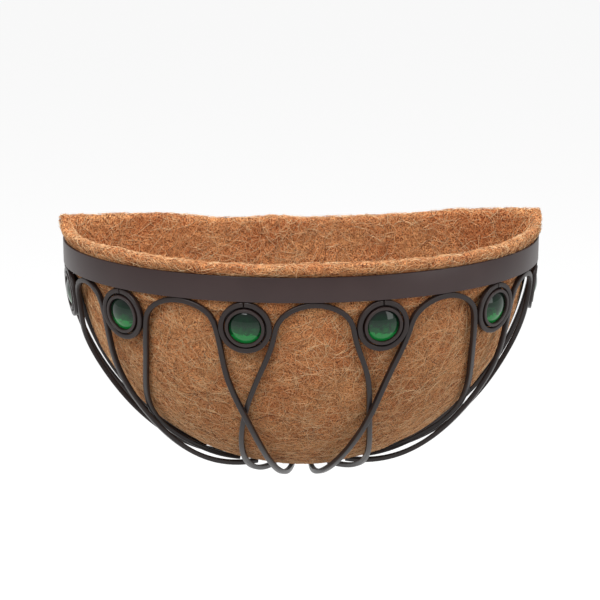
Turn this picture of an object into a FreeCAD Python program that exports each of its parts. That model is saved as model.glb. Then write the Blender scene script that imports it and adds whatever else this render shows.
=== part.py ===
import FreeCAD, Part
import math
import os
import Sketcher
from FreeCAD import Rotation, Vector

# Half-round wall planter: a flat rim band bent to half an ellipse, a flat bar and a round hoop
# against the wall, looped wires that cross under six glass medallions, and a coir liner.
# Frame: X along the wall, -Y away from the wall, +Z up. The origin lies on the wall face of the
# back bar, midway between its two screw holes. All sizes are in millimetres and degrees.

doc = FreeCAD.newDocument("wall_planter")
dims = doc.addObject("Spreadsheet::Sheet", "dims")

SIZES = [
    ("basket_width", 508.0),        # 20 in, outside the rim band
    ("basket_depth", 203.2),        # 8 in from the wall to the front of the band
    ("band_height", 25.4),          # 1 in flat stock
    ("band_thickness", 3.0),
    ("bar_thickness", 3.0),
    ("screw_spacing", 254.0),
    ("screw_hole", 6.5),
    ("weld_gap", 0.05),             # left between welded pieces, so that no two solids overlap
    ("rod_size", 5.2),              # square rod of the wires, the hoop and the rings
    ("hoop_inset", 11.0),           # from the outside of the band to the middle of the hoop
    ("hoop_radius", "=basket_width / 2 - hoop_inset"),
    ("medallion_pitch", 139.0),     # along the wires' rim line
    ("medallion_tilt", 6.0),        # how far each medallion faces down
    ("ring_diameter", 53.5),
    ("ring_seam", 0.8),             # open butt joint at the top of each ring
    ("bezel_depth", 7.0),
    ("bezel_lip", 3.4),             # width of the lip round the glass
    ("bezel_base", 1.4),
    ("glass_diameter", 33.0),
    ("glass_edge", 2.4),
    ("glass_rise", 4.8),
    ("fit_gap", 0.15),              # between ring, bezel and glass
    ("leg_gap", 0.6),               # between a ring and the wire that runs past it
    ("loft_pitch", 7.5),            # longest straight step between the sections of a rod
    ("first_weld", 10.0),           # from the middle of the hoop to the first wire end
    ("weld_pitch", 19.0),           # between wire ends along the hoop
    ("wire_mid_dip", 21.0),         # the stations that each wire is bent through below the rim,
    ("centre_mid_aside", -12.6),    # aside of a medallion's middle, measured along the rim line
    ("side_mid_aside", 19.8),
    ("inner_crossing_aside", 7.7),
    ("inner_crossing_dip", 34.0),
    ("crossing_skew", 1.2),         # both inner crossings lie a little to the left
    ("centre_belly_turn", 35.0),
    ("centre_belly_dip", 65.5),
    ("side_belly_turn", 14.0),
    ("side_belly_dip", 60.0),
    ("side_outer_mid_aside", -14.6),
    ("side_outer_foot_turn", 83.0),
    ("side_outer_foot_rise", 5.3),  # above the wire's end on the hoop
    ("end_inner_mid_aside", 30.6),
    ("outer_crossing_aside", 36.3),
    ("outer_crossing_dip", 41.0),
    ("side_outer_belly_turn", 72.0),
    ("side_outer_belly_dip", 60.0),
    ("end_inner_belly_turn", 67.0),
    ("end_inner_belly_dip", 64.0),
    ("end_inner_sag", 5.2),         # how far the end loops' inner legs hang outside the bowl
    ("end_outer_mid_aside", -6.0),
    ("end_outer_belly_aside", -18.4),
    ("end_outer_belly_dip", 37.0),
    ("end_outer_foot_turn", 82.6),
    ("end_outer_foot_rise", 5.7),
    ("liner_thickness", 11.0),
    ("liner_gap", 0.4),             # between the liner and the hoop, bar and wires
    ("liner_lip", 11.0),            # lip above the band at the front
    ("liner_back_rise", 8.0),       # how much higher the back edge stands
]

for row, (alias, number) in enumerate(SIZES, start=1):
    dims.set("A%d" % row, alias)
    dims.set("B%d" % row, str(number))
    dims.setAlias("B%d" % row, alias)
doc.recompute()


def size(alias):
    return float(dims.get(alias))


def origin_feature(body, role):
    return [feature for feature in body.Origin.OriginFeatures if feature.Role == role][0]


def bind_place(sketch, edge, end, value, rule, axis):
    """Hold one end of an edge at a signed distance from the sketch origin."""
    kind = ("DistanceX", "DistanceY")[axis]
    number = sketch.addConstraint(Sketcher.Constraint(kind, -1, 1, edge, end, value))
    sketch.setExpression("Constraints[%d]" % number, rule)


def bound_sketch(body, name, role, corners):
    """Closed outline through corners given as expressions."""
    sketch = body.newObject("Sketcher::SketchObject", name)
    sketch.AttachmentSupport = (origin_feature(body, role), "")
    sketch.MapMode = "FlatFace"
    values = [[float(sketch.evalExpression(rule)) for rule in corner] for corner in corners]
    points = [Vector(x, y, 0) for x, y in values]
    for i, start in enumerate(points):
        after = (i + 1) % len(points)
        sketch.addGeometry(Part.LineSegment(start, points[after]), False)
    for i, corner in enumerate(corners):
        sketch.addConstraint(Sketcher.Constraint("Coincident", i, 2, (i + 1) % len(points), 1))
        bind_place(sketch, i, 1, values[i][0], corner[0], 0)
        bind_place(sketch, i, 1, values[i][1], corner[1], 1)
    return sketch


# The bowl that the wires follow is a quarter ellipsoid. A place on it is a turn (0 at the front,
# -90 and 90 at the wall), a dip (0 at the middle of the band, 90 at the lowest point) and a lift
# outwards.

bowl_half_width = size("basket_width") / 2 - size("rod_size") / 2
bowl_depth = size("basket_depth") - size("rod_size") / 2
bowl_drop = size("hoop_radius") + size("rod_size") + size("weld_gap")


def bowl_normal(point):
    normal = Vector(point.x / bowl_half_width ** 2, point.y / bowl_depth ** 2,
                    point.z / bowl_drop ** 2)
    return normal.normalize()


def bowl_point(turn, dip, lift=0.0):
    across, down = math.radians(turn), math.radians(dip)
    point = Vector(bowl_half_width * math.sin(across) * math.cos(down),
                   -bowl_depth * math.cos(across) * math.cos(down),
                   -bowl_drop * math.sin(down))
    return point + bowl_normal(point) * lift


def dip_at(height):
    return math.degrees(math.asin(-height / bowl_drop))


def rim_run(turn):
    """Length of the wires' rim line from the front to a turn."""
    steps = 180
    step = math.radians(turn) / steps
    angles = [(i + 0.5) * step for i in range(steps)]
    return sum(step * math.hypot(bowl_half_width * math.cos(a), bowl_depth * math.sin(a))
               for a in angles)


def turn_at(run):
    """Turn at which the rim line has run this length from the front."""
    low, high = 0.0, 90.0
    for _ in range(40):
        middle = (low + high) / 2
        if rim_run(middle) < run:
            low = middle
        else:
            high = middle
    return low


# Heights, runs and turns that several pieces share.

SPAN_STEPS = 2                  # least number of lofted steps between two stations of a rod
half_rod = size("rod_size") / 2
wire_layer = half_rod + 2 * size("fit_gap")     # crossing wires lie outside and inside the bowl
ring_radius = size("ring_diameter") / 2
band_bottom = -size("band_height") / 2
band_top = size("band_height") / 2
loop_lean = 1.06                # a loop's top leans with the bowl, so it stands this much taller
loop_top = band_bottom - size("weld_gap") - loop_lean * half_rod
ring_lean = math.radians(size("medallion_tilt"))
medallion_height = (band_bottom - size("weld_gap") - ring_radius * math.cos(ring_lean)
                    - half_rod * math.sin(ring_lean))
medallion_dip = dip_at(medallion_height)
end_medallion_out = size("rod_size") + size("weld_gap") + ring_radius
end_turn = math.degrees(math.acos(
    end_medallion_out / (bowl_depth * math.cos(math.radians(medallion_dip)))))
medallion_runs = [0.5 * size("medallion_pitch"), 1.5 * size("medallion_pitch"), rim_run(end_turn)]
ring_bore = ring_radius - size("rod_size")
end_loop_run = (medallion_runs[1] + medallion_runs[2]) / 2
ring_hug = math.radians(24)     # a leg that leaves its ring this far down follows it first


def beside(place, aside):
    """Turn at a named distance along the rim line from a medallion's middle."""
    return turn_at(medallion_runs[place] + size(aside))


def shoulder(place, side, mid_turn):
    """Rim runs and heights where a leg meets a medallion's ring and leaves it again.

    A leg whose mid station lies far under the ring first follows the ring down from its widest
    point, and any other leg touches it once.
    """
    across = math.radians(turn_at(medallion_runs[place]))
    bend = (math.hypot(bowl_half_width * math.cos(across), bowl_depth * math.sin(across)) ** 3
            / (bowl_half_width * bowl_depth))
    lean = (ring_radius + half_rod) / bend
    reach = ring_radius + half_rod * (math.cos(lean) + math.sin(lean)) + size("leg_gap")
    reach *= 1 + lean ** 2 / 6
    aside = side * (rim_run(mid_turn) - medallion_runs[place])
    drop = medallion_height + bowl_drop * math.sin(math.radians(size("wire_mid_dip")))
    touch = math.acos(reach / math.hypot(aside, drop)) - math.atan2(drop, aside)
    angles = [0.0, touch] if touch < -ring_hug else [touch]
    return [(medallion_runs[place] + side * reach * math.cos(angle),
             medallion_height + reach * math.sin(angle)) for angle in angles]


def loop_quarter(top_run, touches):
    """Rounded shoulder of a loop, from its top under the band to where it leaves a ring."""
    foot_run, foot_height = touches[0]
    stations = []
    for angle in (0, 30, 60, 90):
        run = top_run + (foot_run - top_run) * math.sin(math.radians(angle))
        level = loop_top - (loop_top - foot_height) * (1 - math.cos(math.radians(angle)))
        stations.append((turn_at(run), dip_at(level), 0.0))
    return stations + [(turn_at(run), dip_at(level), 0.0) for run, level in touches[1:]]


def weld_station(number):
    """Wire end under the hoop, counted from the middle of the hoop."""
    across = size("first_weld") + number * size("weld_pitch")
    dip = math.acos(across / bowl_drop)
    reach = math.hypot(bowl_half_width * math.cos(dip), bowl_drop * math.sin(dip))
    return (90.0, math.degrees(dip), bowl_drop + 2 * size("fit_gap") - reach)


def centre_leg(skew):
    mid_turn = beside(0, "centre_mid_aside")
    return loop_quarter(0.0, shoulder(0, -1, mid_turn)) + [
        (mid_turn, size("wire_mid_dip"), -wire_layer / 2),
        (beside(0, "inner_crossing_aside") + skew, size("inner_crossing_dip"), -wire_layer),
        (size("centre_belly_turn"), size("centre_belly_dip"), -wire_layer / 2),
        weld_station(1)]


def side_inner_leg(skew):
    mid_turn = beside(0, "side_mid_aside") + skew
    return loop_quarter(size("medallion_pitch"), shoulder(0, 1, mid_turn)) + [
        (mid_turn, size("wire_mid_dip"), wire_layer / 2),
        (beside(0, "inner_crossing_aside") + skew, size("inner_crossing_dip"), wire_layer),
        (size("side_belly_turn") + 2 * skew, size("side_belly_dip"), wire_layer / 2),
        weld_station(0)]


def side_outer_leg():
    mid_turn = beside(1, "side_outer_mid_aside")
    weld = weld_station(3)
    return loop_quarter(size("medallion_pitch"), shoulder(1, -1, mid_turn)) + [
        (mid_turn, size("wire_mid_dip"), -wire_layer),
        (beside(1, "outer_crossing_aside"), size("outer_crossing_dip"), -wire_layer),
        (size("side_outer_belly_turn"), size("side_outer_belly_dip"), -wire_layer),
        (size("side_outer_foot_turn"), weld[1] - size("side_outer_foot_rise"),
         2 * size("fit_gap")),
        weld]


def end_inner_leg():
    mid_turn = beside(1, "end_inner_mid_aside")
    return loop_quarter(end_loop_run, shoulder(1, 1, mid_turn)) + [
        (mid_turn, size("wire_mid_dip"), wire_layer),
        (beside(1, "outer_crossing_aside"), size("outer_crossing_dip"), wire_layer),
        (size("end_inner_belly_turn"), size("end_inner_belly_dip"), size("end_inner_sag")),
        weld_station(2)]


def end_outer_leg():
    mid_turn = beside(2, "end_outer_mid_aside")
    weld = weld_station(4)
    return loop_quarter(end_loop_run, shoulder(2, -1, mid_turn)) + [
        (mid_turn, size("wire_mid_dip"), 0.0),
        (beside(2, "end_outer_belly_aside"), size("end_outer_belly_dip"), 0.0),
        (size("end_outer_foot_turn"), weld[1] - size("end_outer_foot_rise"),
         2 * size("fit_gap")),
        weld]


def placed(stations, side):
    return [bowl_point(side * turn, dip, lift) for turn, dip, lift in stations]


def rod_section(path, parameter, flat):
    """Square section across the path, with two faces square to the bowl or to the wall."""
    centre = path.value(parameter)
    along = path.tangent(parameter)[0]
    outwards = bowl_normal(centre)
    if flat:
        outwards.y = 0
    outwards = (outwards - along * outwards.dot(along)).normalize()
    sideways = along.cross(outwards)
    corners = [centre + sideways * (half_rod * x) + outwards * (half_rod * y)
               for x, y in ((1, 1), (-1, 1), (-1, -1), (1, -1))]
    return Part.makePolygon(corners + corners[:1])


def section_places(path):
    """Parameters of the lofted sections, closer together where the stations are."""
    knots = path.getKnots()
    places = knots[:1]
    for start, end in zip(knots, knots[1:]):
        steps = max(SPAN_STEPS, math.ceil(path.length(start, end) / size("loft_pitch")))
        places += [start + (end - start) * (i + 1) / steps for i in range(steps)]
    return places


def bent_rod(label, points, flat=False):
    """Square rod bent through the points and cut off flush with the wall."""
    path = Part.BSplineCurve()
    path.interpolate(points)
    sections = [rod_section(path, place, flat) for place in section_places(path)]
    rod = Part.makeLoft(sections, True, True)
    room = 4 * size("rod_size")
    behind_wall = Part.makeBox(size("basket_width") * 2, room, size("basket_width") * 2,
                               Vector(-size("basket_width"), 0, -size("basket_width")))
    if not flat:
        rod = rod.cut(behind_wall)
    straight = size("rod_size") ** 2 * path.length()
    print("%s: length %.0f, volume %.0f of %.0f" % (label, path.length(), rod.Volume, straight))
    piece = doc.addObject("Part::Feature", label)
    piece.Label = label
    piece.Shape = rod
    return piece


def loop_wire(label, right_leg, left_leg, right_side, left_side):
    """One loop: down one leg, over the top and down the other."""
    down = placed(right_leg, right_side)
    up = placed(left_leg, left_side)
    return bent_rod(label, list(reversed(up)) + down[1:])


skew = size("crossing_skew")
SIDES = (("left", -1), ("right", 1))
wires = [loop_wire("centre_loop_wire", centre_leg(-skew), centre_leg(skew), 1, -1)]
for name, side in SIDES:
    wires.append(loop_wire(name + "_loop_wire", side_inner_leg(-side * skew), side_outer_leg(),
                           side, side))
    wires.append(loop_wire(name + "_end_loop_wire", end_inner_leg(), end_outer_leg(), side, side))


def end_leg(label, side):
    """Half loop in the wall plane, from the end of the band down to the hoop."""
    top = math.asin(-loop_top / bowl_drop) - half_rod / bowl_drop
    foot = math.radians(weld_station(5)[1])
    steps = 6
    spread = bowl_drop + size("fit_gap") - bowl_half_width
    points = []
    for i in range(steps + 1):
        angle = top + (foot - top) * i / steps
        reach = bowl_half_width + spread * min(1.0, 1.3 * i / steps)
        points.append(Vector(side * reach * math.cos(angle), -half_rod,
                             -reach * math.sin(angle)))
    return bent_rod(label, points, True)


for name, side in SIDES:
    wires.append(end_leg(name + "_end_leg", side))


# ---- rim band, back bar and hoop ----

def half_oval(name, inset_rule, height_rule, low_rule):
    """Front half of an elliptical block as deep as the band plus a rule."""
    oval = doc.addObject("Part::Ellipse", name + "_oval")
    oval.setExpression("MajorRadius", "dims.basket_width / 2 - (%s)" % inset_rule)
    oval.setExpression("MinorRadius", "dims.basket_depth - (%s)" % inset_rule)
    oval.setExpression("Placement.Base.z", low_rule)
    block = doc.addObject("Part::Extrusion", name + "_block")
    block.Base = oval
    block.DirMode = "Custom"
    block.Dir = Vector(0, 0, 1)
    block.Solid = True
    block.setExpression("LengthFwd", height_rule)
    return block


def rim_band():
    outer = half_oval("band_outer", "0", "dims.band_height", "-dims.band_height / 2")
    inner = half_oval("band_inner", "dims.band_thickness", "dims.band_height",
                      "-dims.band_height / 2")
    hoop = doc.addObject("Part::Cut", "band_full_oval")
    hoop.Base = outer
    hoop.Tool = inner
    front = doc.addObject("Part::Box", "band_front_half")
    front.setExpression("Length", "dims.basket_width")
    front.setExpression("Width", "dims.basket_depth")
    front.setExpression("Height", "dims.band_height")
    front.setExpression("Placement.Base.x", "-dims.basket_width / 2")
    front.setExpression("Placement.Base.y", "-dims.basket_depth")
    front.setExpression("Placement.Base.z", "-dims.band_height / 2")
    band = doc.addObject("Part::Common", "rim_band")
    band.Base = hoop
    band.Tool = front
    band.Label = "rim_band"
    return band


def back_bar():
    body = doc.addObject("PartDesign::Body", "back_bar")
    body.Label = "back_bar"
    half = "dims.basket_width / 2 - dims.band_thickness - dims.fit_gap"
    flat = [("-(%s)" % half, "-dims.band_height / 2"), (half, "-dims.band_height / 2"),
            (half, "dims.band_height / 2"), ("-(%s)" % half, "dims.band_height / 2")]
    strip = body.newObject("PartDesign::Pad", "bar_strip")
    strip.Profile = bound_sketch(body, "bar_outline", "XZ_Plane", flat)
    strip.setExpression("Length", "dims.bar_thickness")
    body.Tip = strip
    doc.recompute()
    holes = body.newObject("Sketcher::SketchObject", "bar_holes")
    holes.AttachmentSupport = (origin_feature(body, "XZ_Plane"), "")
    holes.MapMode = "FlatFace"
    for i, rule in enumerate(("dims.screw_spacing / 2", "-dims.screw_spacing / 2")):
        place = float(holes.evalExpression(rule))
        circle = Part.Circle(Vector(place, 0, 0), Vector(0, 0, 1), size("screw_hole") / 2)
        holes.addGeometry(circle, False)
        bind_place(holes, i, 3, place, rule, 0)
        bind_place(holes, i, 3, 0.0, "0", 1)
        number = holes.addConstraint(Sketcher.Constraint("Diameter", i, size("screw_hole")))
        holes.setExpression("Constraints[%d]" % number, "dims.screw_hole")
    cut = body.newObject("PartDesign::Pocket", "bar_screw_holes")
    cut.Profile = holes
    cut.Type = "ThroughAll"
    cut.Midplane = True
    body.Tip = cut
    doc.recompute()
    if strip.Shape.BoundBox.YMax > 1e-6:
        strip.Reversed = True
    return body


def back_hoop():
    body = doc.addObject("PartDesign::Body", "back_hoop")
    body.Label = "back_hoop"
    inner = "-(dims.hoop_radius - dims.rod_size / 2)"
    outer = "-(dims.hoop_radius + dims.rod_size / 2)"
    corners = [("-dims.rod_size", outer), ("0", outer), ("0", inner), ("-dims.rod_size", inner)]
    turn = body.newObject("PartDesign::Revolution", "hoop_turn")
    turn.Profile = bound_sketch(body, "hoop_section", "YZ_Plane", corners)
    turn.ReferenceAxis = (origin_feature(body, "Y_Axis"), [""])
    turn.Midplane = True
    turn.setExpression("Angle", "180 deg - 2 * asin((dims.band_height / 2 + dims.weld_gap"
                                ") / (dims.hoop_radius - dims.rod_size / 2))")
    body.Tip = turn
    return body


# ---- medallions: a rod ring, a pressed bezel cup and a domed glass in each ----

ROUND_SIDES = 36
GLASS_STEPS = 4


def turned_piece(label, profile, seam=0.0):
    """Solid turned about Z in flat steps, left open by an angle where it has a seam."""
    sweep = math.radians(360 - seam) / ROUND_SIDES
    first = math.pi + math.radians(seam) / 2
    rows = []
    for i in range(ROUND_SIDES + 1):
        angle = first + sweep * i
        rows.append([Vector(r * math.cos(angle), r * math.sin(angle), z) for r, z in profile])
    if not seam:
        rows[-1] = rows[0]
    faces = []
    for before, after in zip(rows, rows[1:]):
        for i in range(len(profile)):
            j = (i + 1) % len(profile)
            corners = []
            for point in (before[i], before[j], after[j], after[i]):
                if not any(point.isEqual(other, 1e-7) for other in corners):
                    corners.append(point)
            if len(corners) > 2:
                faces.append(Part.Face(Part.makePolygon(corners + corners[:1])))
    if seam:
        faces += [Part.Face(Part.makePolygon(row + row[:1])) for row in (rows[0], rows[-1])]
    shell = Part.makeShell(faces)
    shell.sewShape()
    solid = Part.makeSolid(shell)
    if solid.Volume < 0:
        solid.reverse()
    piece = doc.addObject("Part::Feature", label)
    piece.Label = label
    piece.Shape = solid.removeSplitter()
    return piece


glass_radius = size("glass_diameter") / 2
cup_back = -size("bezel_depth") / 2
cup_front = size("bezel_depth") / 2
cup_floor = cup_back + size("bezel_base")


def medallion_ring(label):
    """Square rod bent to a ring, its ends left a little apart."""
    profile = [(ring_bore, -half_rod), (ring_radius, -half_rod), (ring_radius, half_rod),
               (ring_bore, half_rod)]
    return turned_piece(label, profile, math.degrees(size("ring_seam") / ring_radius))


def bezel_cup(label):
    """Pressed cup: a flange that fills the ring's bore and a narrower lip round the glass."""
    flange = ring_bore - size("fit_gap")
    seat = glass_radius + size("fit_gap")
    lip = glass_radius + size("bezel_lip")
    profile = [(0, cup_back), (flange, cup_back), (flange, cup_floor), (lip, cup_floor),
               (lip, cup_front), (seat, cup_front), (seat, cup_floor), (0, cup_floor)]
    return turned_piece(label, profile)


def glass_gem(label):
    """Glass with a short upright edge and a domed face, seated in its cup."""
    low = cup_floor + size("fit_gap")
    high = low + size("glass_edge")
    rise = size("glass_rise")
    dome_radius = (glass_radius ** 2 + rise ** 2) / (2 * rise)
    half_angle = math.asin(glass_radius / dome_radius)
    profile = [(0, low), (glass_radius, low)]
    for i in range(GLASS_STEPS + 1):
        angle = half_angle * (1 - i / GLASS_STEPS)
        profile.append((dome_radius * math.sin(angle),
                        high + rise - dome_radius * (1 - math.cos(angle))))
    profile[-1] = (0, high + rise)
    return turned_piece(label, profile)


def medallion_placement(place, side):
    """Faces outwards from the bowl and a little down, with the ring's seam at the top."""
    turn = side * turn_at(medallion_runs[place])
    centre = bowl_point(turn, medallion_dip)
    level = bowl_normal(Vector(centre.x, centre.y, 0))
    facing = level * math.cos(ring_lean) - Vector(0, 0, math.sin(ring_lean))
    down = level * -math.sin(ring_lean) - Vector(0, 0, math.cos(ring_lean))
    across = facing.cross(down)
    return FreeCAD.Placement(centre, Rotation(down, across, facing, "ZXY"))


PLACES = ("inner", "outer", "end")
medallions = []
for name, side in SIDES:
    for place, position in enumerate(PLACES):
        where = medallion_placement(place, side)
        trio = [medallion_ring("%s_%s_medallion_ring" % (name, position)),
                bezel_cup("%s_%s_bezel_cup" % (name, position)),
                glass_gem("%s_%s_glass_gem" % (name, position))]
        for piece in trio:
            piece.Placement = where
        medallions += trio


# ---- coir liner: a thick bowl with a flat back panel that stands a little higher ----

LINER_SIDES = 20
LINER_ROWS = 6
liner_reach = size("hoop_radius") - half_rod - size("liner_gap")
liner_depth = bowl_depth - wire_layer - half_rod - size("liner_gap")
liner_back = size("bar_thickness") + size("liner_gap")
liner_top = band_top + size("liner_lip")
lowest_row = 84.0               # dip of the last row, which closes the bowl with a small flat


def liner_outline(inset, share, height):
    """Half oval at one height, straight along the back."""
    outline = []
    back = liner_back + inset
    reach = liner_reach - inset
    depth = liner_depth - inset
    start = math.asin(min(back / (depth * share), 1.0))
    for i in range(LINER_SIDES + 1):
        angle = start + (math.pi - 2 * start) * i / LINER_SIDES
        outline.append(Vector(-reach * share * math.cos(angle),
                              -depth * share * math.sin(angle), height))
    return Part.makePolygon(outline + outline[:1])


def liner_form(inset, top):
    """Bowl with upright walls from its widest row to the top."""
    walls = Part.makeLoft([liner_outline(inset, 1.0, 0.0), liner_outline(inset, 1.0, top)],
                          True, True)
    rows = []
    for i in range(LINER_ROWS + 1):
        dip = math.radians(lowest_row * i / LINER_ROWS)
        rows.append(liner_outline(inset, math.cos(dip), -(liner_reach - inset) * math.sin(dip)))
    bowl = Part.makeLoft(rows, True, False)
    return walls.fuse(bowl)


def coir_liner():
    thickness = size("liner_thickness")
    hollow = liner_form(thickness, 2 * liner_top)
    width = 2 * (liner_reach - thickness)
    back_edge = Part.makeBox(width, thickness, size("liner_back_rise"),
                             Vector(-width / 2, -liner_back - thickness, liner_top))
    liner = doc.addObject("Part::Feature", "coir_liner")
    liner.Label = "coir_liner"
    liner.Shape = liner_form(0.0, liner_top).cut(hollow).fuse(back_edge).removeSplitter()
    return liner


frame_pieces = [rim_band(), back_bar(), back_hoop()]
pieces = frame_pieces + wires + medallions + [coir_liner()]
doc.recompute()

# ---- checks and export ----

for feature in doc.Objects:
    if "Invalid" in feature.State or "Error" in feature.State:
        raise RuntimeError("%s did not build: %s" % (feature.Name, feature.State))

os.makedirs("parts", exist_ok=True)
for piece in pieces:
    shape = piece.Shape
    if shape.isNull() or not shape.isValid() or len(shape.Solids) != 1:
        raise RuntimeError("%s is not one valid solid" % piece.Label)
    shape.exportStep(os.path.join("parts", piece.Label + ".step"))
    box = shape.BoundBox
    print("%-28s %7.1f %7.1f %7.1f" % (piece.Label, box.XLength, box.YLength, box.ZLength))

print("%d pieces" % len(pieces))
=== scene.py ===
import math
import random

import bmesh
import bpy
from mathutils import Matrix, Vector, noise
from mathutils.bvhtree import BVHTree


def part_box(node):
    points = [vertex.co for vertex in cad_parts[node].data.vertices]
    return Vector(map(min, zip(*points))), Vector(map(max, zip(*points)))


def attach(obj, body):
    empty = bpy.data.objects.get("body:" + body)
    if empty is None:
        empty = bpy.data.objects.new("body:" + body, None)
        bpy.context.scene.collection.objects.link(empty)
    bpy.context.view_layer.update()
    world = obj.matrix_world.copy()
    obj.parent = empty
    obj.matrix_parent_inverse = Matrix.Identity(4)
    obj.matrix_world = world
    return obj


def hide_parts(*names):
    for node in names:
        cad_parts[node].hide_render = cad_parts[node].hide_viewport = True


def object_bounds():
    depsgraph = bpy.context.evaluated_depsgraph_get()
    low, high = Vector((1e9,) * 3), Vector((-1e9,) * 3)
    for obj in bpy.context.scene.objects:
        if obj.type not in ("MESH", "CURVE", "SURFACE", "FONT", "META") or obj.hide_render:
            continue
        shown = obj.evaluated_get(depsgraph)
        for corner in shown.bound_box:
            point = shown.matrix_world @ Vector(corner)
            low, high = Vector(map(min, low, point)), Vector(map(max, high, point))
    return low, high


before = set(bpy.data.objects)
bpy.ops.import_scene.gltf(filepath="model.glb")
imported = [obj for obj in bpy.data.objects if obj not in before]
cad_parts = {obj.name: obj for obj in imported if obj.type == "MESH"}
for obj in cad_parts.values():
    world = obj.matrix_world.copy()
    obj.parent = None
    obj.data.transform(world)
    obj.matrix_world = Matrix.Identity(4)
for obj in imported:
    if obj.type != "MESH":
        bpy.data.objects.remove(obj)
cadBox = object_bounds()
rng = random.Random(11)
mm = 0.001


def hexColour(text, alpha=1.0):
    channels = [int(text[i:i + 2], 16) / 255 for i in (1, 3, 5)]
    return tuple(c / 12.92 if c <= 0.04045 else ((c + 0.055) / 1.055) ** 2.4
                 for c in channels) + (alpha,)


def addNode(tree, kind, values=None, links=None, **settings):
    node = tree.nodes.new(kind)
    for key, value in settings.items():
        setattr(node, key, value)
    for key, value in (values or {}).items():
        node.inputs[key].default_value = value
    for key, source in (links or {}).items():
        tree.links.new(source, node.inputs[key])
    return node


def setRamp(node, stops):
    ramp = node.color_ramp
    while len(ramp.elements) < len(stops):
        ramp.elements.new(0.5)
    for element, (place, colour) in zip(ramp.elements, stops):
        element.position = place
        element.color = hexColour(colour)
    return node


def newMaterial(name):
    material = bpy.data.materials.new(name)
    material.use_nodes = True
    tree = material.node_tree
    shader = tree.nodes["Principled BSDF"]
    place = addNode(tree, "ShaderNodeTexCoord").outputs["Object"]
    return material, tree, shader, place


def deselectAll():
    if bpy.context.object and bpy.context.object.mode != "OBJECT":
        bpy.ops.object.mode_set(mode="OBJECT")
    bpy.ops.object.select_all(action="DESELECT")


def activate(piece):
    deselectAll()
    piece.select_set(True)
    bpy.context.view_layer.objects.active = piece


def pickFaces(piece, test):
    bpy.ops.mesh.select_all(action="DESELECT")
    mesh = bmesh.from_edit_mesh(piece.data)
    for face in mesh.faces:
        if test(face):
            face.select_set(True)
    bmesh.update_edit_mesh(piece.data)


def applyAll(piece):
    activate(piece)
    for modifier in list(piece.modifiers):
        bpy.ops.object.modifier_apply(modifier=modifier.name)


def setMaterial(piece, material):
    piece.data.materials.clear()
    piece.data.materials.append(material)


coat = {
    "cloud": 45 * mm,               # broad uneven dust
    "grain": 1.1 * mm,              # orange peel, drawn at 1.1 mm so that it shows
    "grainHigh": 0.12 * mm,
    "grainStrength": 0.22,
    "smoother": 0.06,
    "rougher": 0.08,
    "ior": 1.5,
    "specular": 0.36,
    "band": ("#2e1f1e", "#3f2f2e", 0.36),       # dark tone, light tone, roughness
    "rod": ("#1d1412", "#291d1b", 0.34),
    "cup": ("#241917", "#322523", 0.32),
}


def powderCoat(name, colour, light, roughness, spec=coat):
    # baked polyester powder on steel: an even dark bronze with a faint orange-peel grain
    material, tree, shader, place = newMaterial(name)
    cloud = addNode(tree, "ShaderNodeTexNoise", {"Scale": 1 / spec["cloud"], "Detail": 3.0},
                    {"Vector": place})
    grain = addNode(tree, "ShaderNodeTexNoise", {"Scale": 1 / spec["grain"], "Detail": 2.0},
                    {"Vector": place})
    mixed = addNode(tree, "ShaderNodeMix", {6: hexColour(colour), 7: hexColour(light)},
                    {0: cloud.outputs["Fac"]}, data_type="RGBA")
    tree.links.new(mixed.outputs[2], shader.inputs["Base Color"])
    rough = addNode(tree, "ShaderNodeMapRange", {"To Min": roughness - spec["smoother"],
                                                 "To Max": roughness + spec["rougher"]},
                    {"Value": cloud.outputs["Fac"]})
    tree.links.new(rough.outputs["Result"], shader.inputs["Roughness"])
    peel = addNode(tree, "ShaderNodeBump", {"Strength": spec["grainStrength"],
                                            "Distance": spec["grainHigh"]},
                   {"Height": grain.outputs["Fac"]})
    tree.links.new(peel.outputs["Normal"], shader.inputs["Normal"])
    shader.inputs["Metallic"].default_value = 0.0
    shader.inputs["IOR"].default_value = spec["ior"]
    shader.inputs["Specular IOR Level"].default_value = spec["specular"]
    return material


glass = {"swirl": 7 * mm, "swirlShare": 0.55, "roughness": 0.06, "ior": 1.52, "specular": 0.36}


def pressedGlass(spec=glass):
    # deep green soda glass with its own swirled mottling; over it is painted light: painted shade,
    # nearly black-green, at the top, and a painted emerald glow low down where light gathers
    material, tree, shader, place = newMaterial("greenPressedGlass")
    # painted light: 'low' is the height down the gem, used to paint the green brighter towards the
    # bottom
    low = addNode(tree, "ShaderNodeAttribute", attribute_name="low")
    swirl = addNode(tree, "ShaderNodeTexNoise", {"Scale": 1 / spec["swirl"], "Detail": 4.0,
                                                 "Distortion": 1.2}, {"Vector": place})
    shift = addNode(tree, "ShaderNodeMath", {1: spec["swirlShare"]}, {0: swirl.outputs["Fac"]},
                    operation="MULTIPLY")
    depth = addNode(tree, "ShaderNodeMath", None,
                    {0: low.outputs["Fac"], 1: shift.outputs[0]}, operation="ADD")
    # the ramp paints shade at the top of each gem and a lit emerald glow at its bottom; the swirl
    # only shifts it a little
    ramp = setRamp(addNode(tree, "ShaderNodeValToRGB", None, {"Fac": depth.outputs[0]}),
                   [(0.30, "#02100a"), (0.70, "#042a16"), (0.96, "#075526"), (1.0, "#128a3c")])
    tree.links.new(ramp.outputs["Color"], shader.inputs["Base Color"])
    shader.inputs["Roughness"].default_value = spec["roughness"]
    shader.inputs["IOR"].default_value = spec["ior"]
    shader.inputs["Specular IOR Level"].default_value = spec["specular"]
    return material


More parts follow.
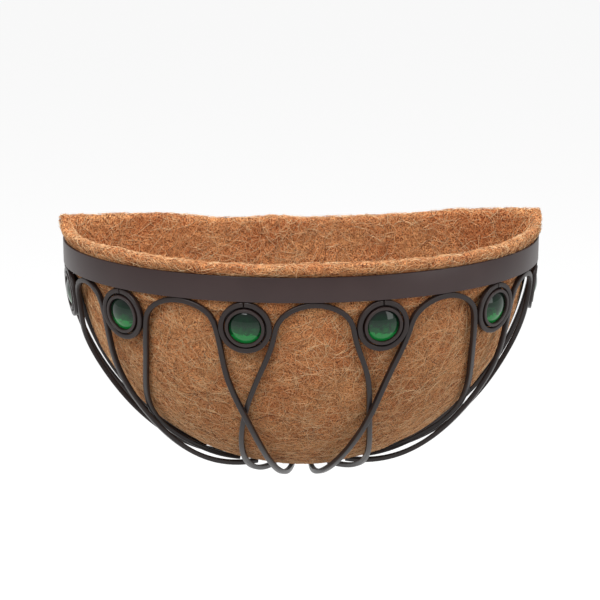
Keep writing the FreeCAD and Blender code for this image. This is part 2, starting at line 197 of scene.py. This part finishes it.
coirFelting = {
    "streakWide": 1.15 * mm,        # drawn wider than the 0.3 mm of one fibre, so that it shows
    "streakLong": 18 * mm,
    "patch": 38 * mm,               # lighter and darker areas
    "curl": (22 * mm, 14 * mm),     # size of the curls, and how far they push the streaks
    "turns": ((0.3, 0.2, 0.5), (1.2, 0.9, 2.1), (2.3, 1.7, 0.9), (0.8, 2.6, 1.6)),
    "fibreHigh": 0.5 * mm,
}


def pressedCoir(spec=coirFelting):
    # felted coconut fibre: tangled strands from dark husk brown to pale straw
    material, tree, shader, place = newMaterial("pressedCoir")
    across, along = 1 / spec["streakWide"], 1 / spec["streakLong"]
    curlSize, curlPush = spec["curl"]
    height = None
    for turn in spec["turns"]:
        bent = addNode(tree, "ShaderNodeTexNoise", {"Scale": 1 / curlSize, "Detail": 1.0},
                       {"Vector": place})
        push = addNode(tree, "ShaderNodeVectorMath", {"Scale": curlPush},
                       {0: bent.outputs["Color"]}, operation="SCALE")
        curled = addNode(tree, "ShaderNodeVectorMath", None,
                         {0: place, 1: push.outputs["Vector"]}, operation="ADD")
        laid = addNode(tree, "ShaderNodeMapping", {"Rotation": turn,
                                                   "Scale": (across, along, across)},
                       {"Vector": curled.outputs["Vector"]})
        streak = addNode(tree, "ShaderNodeTexNoise", {"Scale": 1.0, "Detail": 1.0},
                         {"Vector": laid.outputs["Vector"]})
        sharp = addNode(tree, "ShaderNodeMapRange", {"From Min": 0.50, "From Max": 0.74},
                        {"Value": streak.outputs["Fac"]})
        if height is None:
            height = sharp.outputs["Result"]
        else:
            height = addNode(tree, "ShaderNodeMath", None,
                             {0: height, 1: sharp.outputs["Result"]},
                             operation="MAXIMUM").outputs["Value"]
    ramp = setRamp(addNode(tree, "ShaderNodeValToRGB", None, {"Fac": height}),
                   [(0.0, "#4a2512"), (0.26, "#ad6a3a"), (0.72, "#f2bd86")])
    patch = addNode(tree, "ShaderNodeTexNoise", {"Scale": 1 / spec["patch"], "Detail": 4.0},
                    {"Vector": place})
    tone = setRamp(addNode(tree, "ShaderNodeValToRGB", None, {"Fac": patch.outputs["Fac"]}),
                   [(0.36, "#e6c2aa"), (0.50, "#fae4d2"), (0.66, "#fff6ea")])
    coloured = addNode(tree, "ShaderNodeMix", {0: 1.0},
                       {6: ramp.outputs["Color"], 7: tone.outputs["Color"]},
                       data_type="RGBA", blend_type="MULTIPLY")
    tree.links.new(coloured.outputs[2], shader.inputs["Base Color"])
    felt = addNode(tree, "ShaderNodeBump", {"Strength": 0.8, "Distance": spec["fibreHigh"]},
                   {"Height": height})
    tree.links.new(felt.outputs["Normal"], shader.inputs["Normal"])
    shader.inputs["Roughness"].default_value = 0.85
    shader.inputs["IOR"].default_value = 1.45
    return material


def looseCoir():
    # single coconut fibres, each one tone from end to end
    material, tree, shader = newMaterial("looseCoirFibre")[:3]
    tint = addNode(tree, "ShaderNodeAttribute", attribute_name="tint")
    ramp = setRamp(addNode(tree, "ShaderNodeValToRGB", None, {"Fac": tint.outputs["Fac"]}),
                   [(0.0, "#6e3418"), (0.30, "#c88450"), (0.65, "#efb47c"), (1.0, "#ffe0b0")])
    tree.links.new(ramp.outputs["Color"], shader.inputs["Base Color"])
    shader.inputs["Roughness"].default_value = 0.6
    shader.inputs["IOR"].default_value = 1.5
    return material


bandCoat = powderCoat("bandPowderCoat", *coat["band"])
rodCoat = powderCoat("rodPowderCoat", *coat["rod"])
cupCoat = powderCoat("cupPowderCoat", *coat["cup"])
glassMat = pressedGlass()
coirFelt = pressedCoir()
coirFibre = looseCoir()
print("materials made")


# the frame's own forms, merged, with softened edges
metalEdges = {"rod": 1.0 * mm, "flat": 0.5 * mm, "segments": 3, "sharpAbove": 50,
              "smoothBelow": 32}


def softenMetal(node, radius, material, spec=metalEdges):
    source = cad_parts[node]
    piece = source.copy()
    piece.data = source.data.copy()
    piece.name = node + "Coated"
    piece.animation_data_clear()
    bpy.context.collection.objects.link(piece)
    activate(piece)
    bpy.ops.object.mode_set(mode="EDIT")
    bpy.ops.mesh.select_all(action="SELECT")
    bpy.ops.mesh.remove_doubles(threshold=0.005 * mm)
    bpy.ops.mesh.dissolve_limited(angle_limit=math.radians(0.3))
    bpy.ops.object.mode_set(mode="OBJECT")
    bevel = piece.modifiers.new("softEdge", "BEVEL")
    bevel.width = radius
    bevel.segments = spec["segments"]
    bevel.limit_method = "ANGLE"
    bevel.angle_limit = math.radians(spec["sharpAbove"])
    applyAll(piece)
    bpy.ops.object.shade_smooth_by_angle(angle=math.radians(spec["smoothBelow"]))
    setMaterial(piece, material)
    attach(piece, "basket_frame")
    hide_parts(node)
    return piece


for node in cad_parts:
    if node.endswith(("loop_wire", "end_leg", "back_hoop")):
        softenMetal(node, metalEdges["rod"], rodCoat)
    elif node in ("rim_band", "back_bar"):
        softenMetal(node, metalEdges["flat"], bandCoat)
print("frame metal softened")


ring = {"radius": 26.75 * mm, "rod": 5.2 * mm, "seam": 0.8 * mm, "steps": 96, "edge": 1.1 * mm}
cup = {"flange": 21.4 * mm, "lip": 19.9 * mm, "seat": 16.65 * mm, "depth": 7.0 * mm,
       "base": 1.4 * mm, "edge": 0.55 * mm, "sides": 72}
gem = {"radius": 16.5 * mm, "upright": 2.4 * mm, "rise": 4.8 * mm, "low": -1.95 * mm,
       "sides": 72, "rows": 9, "tip": 0.004}      # the tip is the last row's half angle
tiltDown = math.radians(6)
rimHalfWidth = (cadBox[1][0] - cadBox[0][0]) / 2 - ring["rod"] / 2
rimDepth = -cadBox[0][1] - ring["rod"] / 2


def makeRing(spec=ring):
    deselectAll()
    bpy.ops.mesh.primitive_plane_add(size=spec["rod"],
                                     location=(-spec["radius"] + spec["rod"] / 2, 0, 0),
                                     rotation=(math.pi / 2, 0, 0))
    piece = bpy.context.object
    bpy.ops.object.transform_apply(location=True, rotation=True, scale=True)
    bpy.ops.object.mode_set(mode="EDIT")
    bpy.ops.mesh.select_all(action="SELECT")
    half = spec["seam"] / spec["radius"] / 2
    bpy.ops.transform.rotate(value=-half, orient_axis="Z", center_override=(0, 0, 0))
    bpy.ops.mesh.spin(steps=spec["steps"], angle=2 * math.pi - 2 * half, center=(0, 0, 0),
                      axis=(0, 0, 1))
    bpy.ops.mesh.select_all(action="SELECT")
    bpy.ops.mesh.remove_doubles(threshold=0.002 * mm)
    bpy.ops.mesh.normals_make_consistent(inside=False)
    bpy.ops.object.mode_set(mode="OBJECT")
    bevel = piece.modifiers.new("rodEdge", "BEVEL")
    bevel.width = spec["edge"]
    bevel.segments = 3
    bevel.limit_method = "ANGLE"
    bevel.angle_limit = math.radians(50)
    applyAll(piece)
    return piece


def pickTopFace(piece):
    pickFaces(piece, lambda face: face.normal.z > 0.9
              and face.calc_center_median().xy.length < 0.1 * mm
              and len(face.verts) > 8)


def makeCup(spec=cup):
    deselectAll()
    bpy.ops.mesh.primitive_cylinder_add(vertices=spec["sides"], radius=spec["flange"],
                                        depth=spec["base"],
                                        location=(0, 0, (spec["base"] - spec["depth"]) / 2))
    piece = bpy.context.object
    bpy.ops.object.transform_apply(location=True, rotation=True, scale=True)
    bpy.ops.object.mode_set(mode="EDIT")
    pickTopFace(piece)
    bpy.ops.mesh.inset(thickness=spec["flange"] - spec["lip"])
    bpy.ops.mesh.extrude_region_move(
        TRANSFORM_OT_translate={"value": (0, 0, spec["depth"] - spec["base"])})
    bpy.ops.mesh.inset(thickness=spec["lip"] - spec["seat"])
    bpy.ops.mesh.extrude_region_move(
        TRANSFORM_OT_translate={"value": (0, 0, spec["base"] - spec["depth"])})
    bpy.ops.object.mode_set(mode="OBJECT")
    bevel = piece.modifiers.new("rolledLip", "BEVEL")
    bevel.width = spec["edge"]
    bevel.segments = 3
    bevel.limit_method = "ANGLE"
    bevel.angle_limit = math.radians(40)
    applyAll(piece)
    return piece


def makeGem(spec=gem):
    deselectAll()
    bpy.ops.mesh.primitive_cylinder_add(vertices=spec["sides"], radius=spec["radius"],
                                        depth=spec["upright"],
                                        location=(0, 0, spec["low"] + spec["upright"] / 2))
    piece = bpy.context.object
    bpy.ops.object.transform_apply(location=True, rotation=True, scale=True)
    bpy.ops.object.mode_set(mode="EDIT")
    pickTopFace(piece)
    domeRadius = (spec["radius"] ** 2 + spec["rise"] ** 2) / (2 * spec["rise"])
    halfAngle = math.asin(spec["radius"] / domeRadius)
    for row in range(spec["rows"]):
        outer = halfAngle * (1 - row / spec["rows"])
        inner = halfAngle * (1 - (row + 1) / spec["rows"]) or spec["tip"]
        bpy.ops.mesh.inset(thickness=domeRadius * (math.sin(outer) - math.sin(inner)))
        bpy.ops.transform.translate(
            value=(0, 0, domeRadius * (math.cos(inner) - math.cos(outer))))
    bpy.ops.object.mode_set(mode="OBJECT")
    # height down each gem, 0 top to 1 bottom, which puts the painted glow low down in the glass
    low = [0.5 + 0.5 * v.co.x / spec["radius"] for v in piece.data.vertices]    # 0 top, 1 bottom
    piece.data.attributes.new("low", "FLOAT", "POINT").data.foreach_set("value", low)
    return piece


def medallionPlace(node):
    low, high = (Vector(corner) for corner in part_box(node))
    centre = (low + high) / 2
    level = Vector((centre.x / rimHalfWidth ** 2, centre.y / rimDepth ** 2, 0)).normalized()
    facing = level * math.cos(tiltDown) - Vector((0, 0, math.sin(tiltDown)))
    down = -level * math.sin(tiltDown) - Vector((0, 0, math.cos(tiltDown)))
    across = facing.cross(down)
    turned = Matrix((down, across, facing)).transposed().to_4x4()
    return Matrix.Translation(centre) @ turned


def placeCopies(pattern, ending, material, smoothBelow):
    for node in [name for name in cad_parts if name.endswith(ending)]:
        piece = pattern.copy()
        piece.data = pattern.data.copy()
        piece.name = node + "Finished"
        bpy.context.collection.objects.link(piece)
        piece.data.transform(medallionPlace(node.replace(ending, "medallion_ring")))
        activate(piece)
        bpy.ops.object.shade_smooth_by_angle(angle=math.radians(smoothBelow))
        setMaterial(piece, material)
        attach(piece, "basket_frame")
        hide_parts(node)
    bpy.data.objects.remove(pattern)


placeCopies(makeRing(), "medallion_ring", rodCoat, 35)
placeCopies(makeCup(), "bezel_cup", cupCoat, 35)
placeCopies(makeGem(), "glass_gem", glassMat, 40)
print("medallions placed")


liner = {
    "wall": 11 * mm,
    "frontLip": 12 * mm,            # above the band
    "backRise": 8 * mm,             # back edge above the front lip
    "voxel": 2.6 * mm,
    "lumps": (1.1 * mm, 30 * mm),   # height and size of the broad lumps
    "nubs": (0.45 * mm, 7 * mm),
    "lipWander": 2.2 * mm,
    "flare": (9.5 * mm, -30 * mm, -12 * mm),    # the felt widens to the band between two heights
    "behindBand": 3.5 * mm,                     # felt face from the outside of the band
    "behindWires": 6.0 * mm,                    # and below the band, behind the wires
    "overhang": (2.2 * mm, 6.5 * mm),           # lip over the band, along the front and at corners
    "backWave": (-2 * mm, 6.5 * mm, 160 * mm),  # back edge: low in the middle, higher to the sides
    "waveHighest": 4.5 * mm,
    "backTurn": (40 * mm, 8 * mm),      # from the back panel: there the flare turns sideways
    "cornerSpan": (0.80, 0.99),         # shares of the half width over which the overhang grows
    "sideSpan": (0.55, 0.95),
    "overhangFrom": 11 * mm,
    "waveFrom": 8 * mm,
    "wanderFrom": 4 * mm,
    "wanderSize": 55 * mm,
    "rippleSize": 14 * mm,
    "rippleShare": 0.35,
    "bandRoom": (2.5 * mm, 1 * mm),     # above and below the band, where the felt is still held
    "bowlRoom": 8 * mm,
    "pressWider": 60 * mm,              # rows narrower than this are left as they are
    "relaxTurns": 6,
}


def smoothStep(value, low, high):
    share = min(max((value - low) / (high - low), 0), 1)
    return share * share * (3 - 2 * share)


def makeLiner(spec=liner):
    low, high = (Vector(corner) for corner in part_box("coir_liner"))
    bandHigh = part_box("rim_band")[1][2]
    reach, depth, back = (high.x - low.x) / 2, -low.y, -high.y
    lipTop = bandHigh + spec["frontLip"]
    deselectAll()
    bpy.ops.mesh.primitive_uv_sphere_add(segments=128, ring_count=64, radius=1,
                                         location=(0, 0, 0))
    piece = bpy.context.object
    piece.name = "coirLinerFelt"
    piece.scale = (reach, depth, -low.z)
    bpy.ops.object.transform_apply(location=True, rotation=True, scale=True)
    bpy.ops.object.mode_set(mode="EDIT")
    bpy.ops.mesh.select_all(action="SELECT")
    bpy.ops.mesh.bisect(plane_co=(0, -back, 0), plane_no=(0, 1, 0), clear_outer=True,
                        use_fill=True)
    bpy.ops.mesh.select_all(action="SELECT")
    bpy.ops.mesh.bisect(plane_co=(0, 0, 0), plane_no=(0, 0, 1), clear_outer=True)
    bpy.ops.mesh.select_all(action="DESELECT")
    mesh = bmesh.from_edit_mesh(piece.data)
    for edge in mesh.edges:
        if edge.is_boundary:
            edge.select_set(True)
    bmesh.update_edit_mesh(piece.data)
    bpy.ops.mesh.extrude_edges_move(TRANSFORM_OT_translate={"value": (0, 0, lipTop)})
    bpy.ops.object.mode_set(mode="OBJECT")
    for vertex in piece.data.vertices:
        if vertex.co.z > lipTop - 0.1 * mm:
            vertex.co.z += spec["backRise"] * smoothStep(vertex.co.y, -back - 30 * mm, -back)
    wall = piece.modifiers.new("feltWall", "SOLIDIFY")
    wall.thickness = spec["wall"]
    wall.offset = -1
    wall.use_even_offset = True
    remesh = piece.modifiers.new("evenFelt", "REMESH")
    remesh.mode = "VOXEL"
    remesh.voxel_size = spec["voxel"]
    relax = piece.modifiers.new("softFelt", "SMOOTH")
    relax.iterations = spec["relaxTurns"]
    applyAll(piece)
    flareFelt(piece, spec, lipTop, reach, depth, back)
    shapeFelt(piece, spec, lipTop)
    pressFelt(piece, spec, bandHigh, -low.z)
    activate(piece)
    bpy.ops.object.shade_smooth()
    setMaterial(piece, coirFelt)
    return piece


def flareFelt(piece, spec, lipTop, reach, depth, back):
    push, start, end = spec["flare"]
    along, corner = spec["overhang"]
    dip, lift, half = spec["backWave"]
    far, near = spec["backTurn"]
    cornerFrom, cornerTo = spec["cornerSpan"]
    sideFrom, sideTo = spec["sideSpan"]
    for vertex in piece.data.vertices:
        spot = vertex.co
        level = Vector((spot.x / reach ** 2, spot.y / depth ** 2, 0)).normalized()
        inBack = smoothStep(spot.y, -back - far, -back - near)
        cornerShare = smoothStep(abs(spot.x), cornerFrom * reach, cornerTo * reach)
        level = level * (1 - inBack) + Vector((math.copysign(1, spot.x), 0, 0)) * inBack
        wide = push * smoothStep(spot.z, start, end)
        over = along + (corner - along) * cornerShare
        over *= smoothStep(spot.z, spec["overhangFrom"], lipTop)
        sideways = max(1 - inBack, smoothStep(abs(spot.x), sideFrom * reach, sideTo * reach))
        vertex.co += level * (wide + over) * sideways
        wave = min(dip + lift * (spot.x / half) ** 2, spec["waveHighest"])
        vertex.co.z += wave * inBack * smoothStep(spot.z, spec["waveFrom"], lipTop)
        vertex.co.y = min(vertex.co.y, -back)


def shapeFelt(piece, spec, lipTop):
    lumpHigh, lumpSize = spec["lumps"]
    nubHigh, nubSize = spec["nubs"]
    normals = [v.normal.copy() for v in piece.data.vertices]
    for vertex, normal in zip(piece.data.vertices, normals):
        spot = vertex.co.copy()
        lump = noise.noise(spot / lumpSize) * lumpHigh
        nub = noise.noise(spot / nubSize + Vector((7, 3, 1))) * nubHigh
        vertex.co += normal * (lump + nub)
        lip = smoothStep(spot.z, spec["wanderFrom"], lipTop)
        flat = Vector((spot.x, spot.y, 0))
        wander = noise.noise(flat / spec["wanderSize"] + Vector((2, 9, 4)))
        ripple = noise.noise(flat / spec["rippleSize"] + Vector((5, 1, 8)))
        vertex.co.z += lip * (wander + spec["rippleShare"] * ripple) * spec["lipWander"]


def pressFelt(piece, spec, bandHigh, drop):
    # the felt stays behind the band, and below it behind the wires
    halfWidth, halfDepth = cadBox[1][0], -cadBox[0][1]
    above, below = spec["bandRoom"]
    for vertex in piece.data.vertices:
        spot = vertex.co
        if spot.z > bandHigh + above:
            continue
        if spot.z > -bandHigh - below:
            wide, deep = halfWidth - spec["behindBand"], halfDepth - spec["behindBand"]
        else:
            narrow = math.sqrt(max(1 - (spot.z / (drop + spec["bowlRoom"])) ** 2, 0))
            wide = (halfWidth - spec["behindWires"]) * narrow
            deep = (halfDepth - spec["behindWires"]) * narrow
        far = math.hypot(spot.x / max(wide, mm), spot.y / max(deep, mm))
        if far > 1 and wide > spec["pressWider"]:
            spot.x /= far
            spot.y /= far


felt = makeLiner()
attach(felt, "liner")
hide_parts("coir_liner")
print("liner felt:", len(felt.data.polygons), "faces")


fibres = {
    "radius": (0.13 * mm, 0.27 * mm),   # the thick ones, so that single fibres show
    "outside": {"count": 9000, "long": (10 * mm, 36 * mm), "lift": (0.1 * mm, 0.9 * mm)},
    "inside": {"count": 9000, "long": (9 * mm, 32 * mm), "lift": (0.1 * mm, 1.0 * mm)},
    "lip": {"count": 5600, "long": (6 * mm, 24 * mm), "lift": (0.2 * mm, 2.4 * mm)},
    "points": 4,
    "bend": 0.38,                       # radians from point to point, for a whole fibre
    "wiggle": 0.12,                     # and for each step of it
    "clear": 0.12 * mm,                 # least height over the felt
    "tint": (0.60, 0.30),               # mean and spread, from 0 dark to 1 pale
    "tip": 0.45,                        # a tip's radius as a share of the fibre's
}


def fibrePath(tree, start, normal, long, lift, spec):
    points = spec["points"]
    heading = Vector([rng.uniform(-1, 1) for _ in range(3)])
    heading = (heading - normal * heading.dot(normal)).normalized()
    bend = rng.gauss(0, spec["bend"])
    ends = (rng.uniform(*lift), rng.uniform(*lift))
    spot, path = start.copy(), []
    for i in range(points):
        share = i / (points - 1)
        up = ends[0] * (1 - share) ** 2 + ends[1] * share ** 2 + spec["clear"]
        path.append((spot + normal * up, normal.copy(), heading.copy()))
        across = normal.cross(heading)
        heading = (heading + across * (bend + rng.gauss(0, spec["wiggle"]))).normalized()
        nearest, found = tree.find_nearest(spot + heading * long / (points - 1))[:2]
        if nearest is None:
            break
        spot, normal = nearest, found
        heading = (heading - normal * heading.dot(normal)).normalized()
    return path


def strewFibres(name, base, region, spec, keep):
    mesh = base.data
    tree = BVHTree.FromPolygons([v.co for v in mesh.vertices],
                                [list(p.vertices) for p in mesh.polygons])
    homes = [p for p in mesh.polygons if keep(p.center, p.normal)]
    verts, faces, tints = [], [], []
    for _ in range(region["count"]):
        home = rng.choice(homes)
        long = rng.uniform(*region["long"])
        path = fibrePath(tree, home.center, home.normal, long, region["lift"], spec)
        if len(path) < 3:
            continue
        radius = rng.uniform(*spec["radius"])
        tint = min(max(rng.gauss(*spec["tint"]), 0), 1)
        first = len(verts)
        for i, (spot, normal, heading) in enumerate(path):
            thin = radius * (spec["tip"] if i in (0, len(path) - 1) else 1.0)
            side = normal.cross(heading) * thin
            verts += [spot + normal * thin, spot - normal * thin * 0.5 + side * 0.87,
                      spot - normal * thin * 0.5 - side * 0.87]
            tints += [tint] * 3
        for i in range(len(path) - 1):
            for j in range(3):
                a, b = first + 3 * i + j, first + 3 * i + (j + 1) % 3
                faces.append((a, a + 3, b + 3, b))
        last = first + 3 * (len(path) - 1)
        faces += [(first, first + 1, first + 2), (last + 2, last + 1, last)]
    strands = bpy.data.meshes.new(name)
    strands.from_pydata([tuple(v) for v in verts], [], faces)
    strands.attributes.new("tint", "FLOAT", "POINT").data.foreach_set("value", tints)
    piece = bpy.data.objects.new(name, strands)
    bpy.context.collection.objects.link(piece)
    activate(piece)
    bpy.ops.object.mode_set(mode="EDIT")
    bpy.ops.mesh.select_all(action="SELECT")
    bpy.ops.mesh.normals_make_consistent(inside=False)
    bpy.ops.object.mode_set(mode="OBJECT")
    bpy.ops.object.shade_smooth()
    setMaterial(piece, coirFibre)
    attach(piece, "liner")
    return piece


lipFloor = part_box("rim_band")[1][2]

for layer in ("outsideFibresUnder", "outsideFibresOver"):
    strewFibres(layer, felt, fibres["outside"], fibres,
                lambda c, n: n.dot(c) > 0 and c.z < lipFloor and n.y < 0.6)
strewFibres("insideFibres", felt, fibres["inside"], fibres,
            lambda c, n: n.dot(c) < 0 and c.z < lipFloor + 10 * mm)
strewFibres("lipFibres", felt, fibres["lip"], fibres, lambda c, n: c.z > lipFloor - 2 * mm)
print("fibres strewn")


studio = {
    "floorGlow": 0.72,
    "floorColour": "#a8a8a8",
    "floorDrop": 0.22,              # metres under the basket, which hangs
    "skyLight": 0.55,
    "skySeen": 1.0,
    "middle": Vector((0, -0.1, -0.08)),
    "keySoftbox": ((-0.9, -1.5, 1.3), (1.1, 0.9), 20),      # place, size, watts
    "fillSoftbox": ((1.5, -1.2, 0.5), (0.8, 1.2), 8),
    "topSoftbox": ((0.1, -0.5, 1.5), (1.4, 0.8), 17),
}


def paleFloor(spec=studio):
    material = bpy.data.materials.new("paleFloor")
    material.use_nodes = True
    tree = material.node_tree
    tree.nodes.clear()
    path = addNode(tree, "ShaderNodeLightPath")
    seen = addNode(tree, "ShaderNodeMath", None, {0: path.outputs["Is Camera Ray"],
                                                  1: path.outputs["Is Glossy Ray"]},
                   operation="MAXIMUM")
    seen = addNode(tree, "ShaderNodeMath", None, {0: seen.outputs[0],
                                                  1: path.outputs["Is Transmission Ray"]},
                   operation="MAXIMUM")
    strength = addNode(tree, "ShaderNodeMath", {1: spec["floorGlow"]}, {0: seen.outputs[0]},
                       operation="MULTIPLY")
    glow = addNode(tree, "ShaderNodeEmission", None, {"Strength": strength.outputs[0]})
    matt = addNode(tree, "ShaderNodeBsdfDiffuse", {"Color": hexColour(spec["floorColour"])})
    both = addNode(tree, "ShaderNodeAddShader", None, {0: glow.outputs[0], 1: matt.outputs[0]})
    addNode(tree, "ShaderNodeOutputMaterial", None, {"Surface": both.outputs[0]})
    return material


def makeFloor():
    deselectAll()
    bpy.ops.mesh.primitive_plane_add(size=40, location=(0, 0, cadBox[0][2] - studio["floorDrop"]))
    floor = bpy.context.object
    floor.name = "floor"
    setMaterial(floor, paleFloor())


def makeWorld(spec=studio):
    world = bpy.data.worlds.new("studio")
    bpy.context.scene.world = world
    world.use_nodes = True
    tree = world.node_tree
    tree.nodes.clear()
    path = addNode(tree, "ShaderNodeLightPath")
    seen = addNode(tree, "ShaderNodeMath", None, {0: path.outputs["Is Camera Ray"],
                                                  1: path.outputs["Is Transmission Ray"]},
                   operation="MAXIMUM")
    strength = addNode(tree, "ShaderNodeMapRange", {"To Min": spec["skyLight"],
                                                      "To Max": spec["skySeen"]},
                       {"Value": seen.outputs[0]})
    sky = addNode(tree, "ShaderNodeBackground", {"Color": (1, 1, 1, 1)},
                  {"Strength": strength.outputs[0]})
    addNode(tree, "ShaderNodeOutputWorld", None, {"Surface": sky.outputs[0]})


def addSoftbox(name, target):
    place, size, power = studio[name]
    lamp = bpy.data.lights.new(name, "AREA")
    lamp.shape = "RECTANGLE"
    lamp.size, lamp.size_y = size
    lamp.energy = power
    box = bpy.data.objects.new(name, lamp)
    box.location = place
    box.rotation_euler = (target - Vector(place)).to_track_quat("-Z", "Y").to_euler()
    bpy.context.collection.objects.link(box)


camera = {
    "target": Vector((-8.3, -101.6, -35.8)) * mm,
    "azimuth": math.radians(-3.7),
    "elevation": math.radians(14.65),
    "distance": 2.032,
    "lens": 118.7,
}


def makeCamera(spec=camera):
    side, rise = spec["azimuth"], spec["elevation"]
    back = Vector((math.sin(side) * math.cos(rise), -math.cos(side) * math.cos(rise),
                   math.sin(rise)))
    lens = bpy.data.cameras.new("photoCamera")
    lens.lens = spec["lens"]
    lens.sensor_width = 36
    lens.clip_end = 60
    view = bpy.data.objects.new("photoCamera", lens)
    view.location = spec["target"] + back * spec["distance"]
    view.rotation_euler = back.to_track_quat("Z", "Y").to_euler()
    bpy.context.collection.objects.link(view)
    bpy.context.scene.camera = view


makeFloor()
makeWorld()
for softbox in ("keySoftbox", "fillSoftbox", "topSoftbox"):
    addSoftbox(softbox, studio["middle"])
makeCamera()
bpy.context.scene.view_settings.view_transform = "Standard"
print("stage set")
